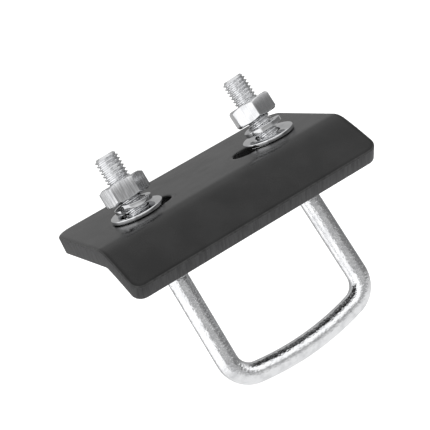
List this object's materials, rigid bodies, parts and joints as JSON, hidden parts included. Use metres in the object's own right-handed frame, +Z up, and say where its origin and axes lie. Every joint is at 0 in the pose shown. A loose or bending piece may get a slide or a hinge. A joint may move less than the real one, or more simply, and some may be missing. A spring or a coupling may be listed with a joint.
{
  "type": "u-bolt clamp",
  "caption": "U-bolt clamp: a bent, slotted black plate drawn onto a rounded-square zinc U-bolt by hex nuts over spring and flat washers.",
  "frame": {"origin": "on the plate's underside, midway between the U-bolt's legs", "axes": "+Z up along the U-bolt towards the stud ends, +X along the plate, +Y towards the plate's back edge"},
  "size_m": [0.1133, 0.0763, 0.1114],
  "materials": {
    "zinc_rod": "bright zinc plating over drawn rod and rolled thread",
    "black_coating": "satin black coating over sheared steel plate",
    "zinc_washer": "bright zinc plating",
    "zinc_spring": "bright zinc plating over spring steel",
    "zinc_nut": "bright zinc plating"
  },
  "bodies": {
    "clamp_plate": {"clamp_plate": "black_coating"},
    "u_bolt": {"u_bolt": "zinc_rod"},
    "nut_left": {"hex_nut_left": "zinc_nut"},
    "nut_right": {"hex_nut_right": "zinc_nut"},
    "flat_washer_left": {"flat_washer_left": "zinc_washer"},
    "flat_washer_right": {"flat_washer_right": "zinc_washer"},
    "spring_washer_left": {"spring_washer_left": "zinc_spring"},
    "spring_washer_right": {"spring_washer_right": "zinc_spring"}
  },
  "joints": [
    {"name": "nut_left_spin", "type": "hinge", "parent": "clamp_plate", "child": "nut_left", "pos_m": [-0.03177, 0, 0.0155], "axis": [0.0209, 0, 0.9998], "range_deg": [-4682, 2522]},
    {"name": "nut_right_spin", "type": "hinge", "parent": "clamp_plate", "child": "nut_right", "pos_m": [0.03177, 0, 0.0155], "axis": [-0.0209, 0, 0.9998], "range_deg": [-4682, 2522]},
    {"name": "u_bolt_draw", "type": "slide", "parent": "clamp_plate", "child": "u_bolt", "axis": [0, 0, 1], "range_m": [-0.0105, 0.0195]},
    {"name": "flat_washer_left_spin", "type": "hinge", "parent": "clamp_plate", "child": "flat_washer_left", "pos_m": [-0.03189, 0, 0.01012], "axis": [0.0391, -0.2284, 0.9728], "continuous": true},
    {"name": "flat_washer_right_spin", "type": "hinge", "parent": "clamp_plate", "child": "flat_washer_right", "pos_m": [0.03194, 0, 0.00756], "axis": [0.0391, -0.2284, 0.9728], "continuous": true},
    {"name": "spring_washer_left_spin", "type": "hinge", "parent": "clamp_plate", "child": "spring_washer_left", "pos_m": [-0.03185, 0, 0.0118], "axis": [0.0209, -0.165, 0.9861], "range_deg": [-40, 130]},
    {"name": "spring_washer_right_spin", "type": "hinge", "parent": "clamp_plate", "child": "spring_washer_right", "pos_m": [0.03189, 0, 0.01023], "axis": [-0.0209, -0.0523, 0.9984], "continuous": true}
  ],
  "couplings": [
    {"joint": "nut_left_spin", "follows": "u_bolt_draw", "rad_per_m": -4188.8},
    {"joint": "nut_right_spin", "follows": "u_bolt_draw", "rad_per_m": -4188.8}
  ]
}
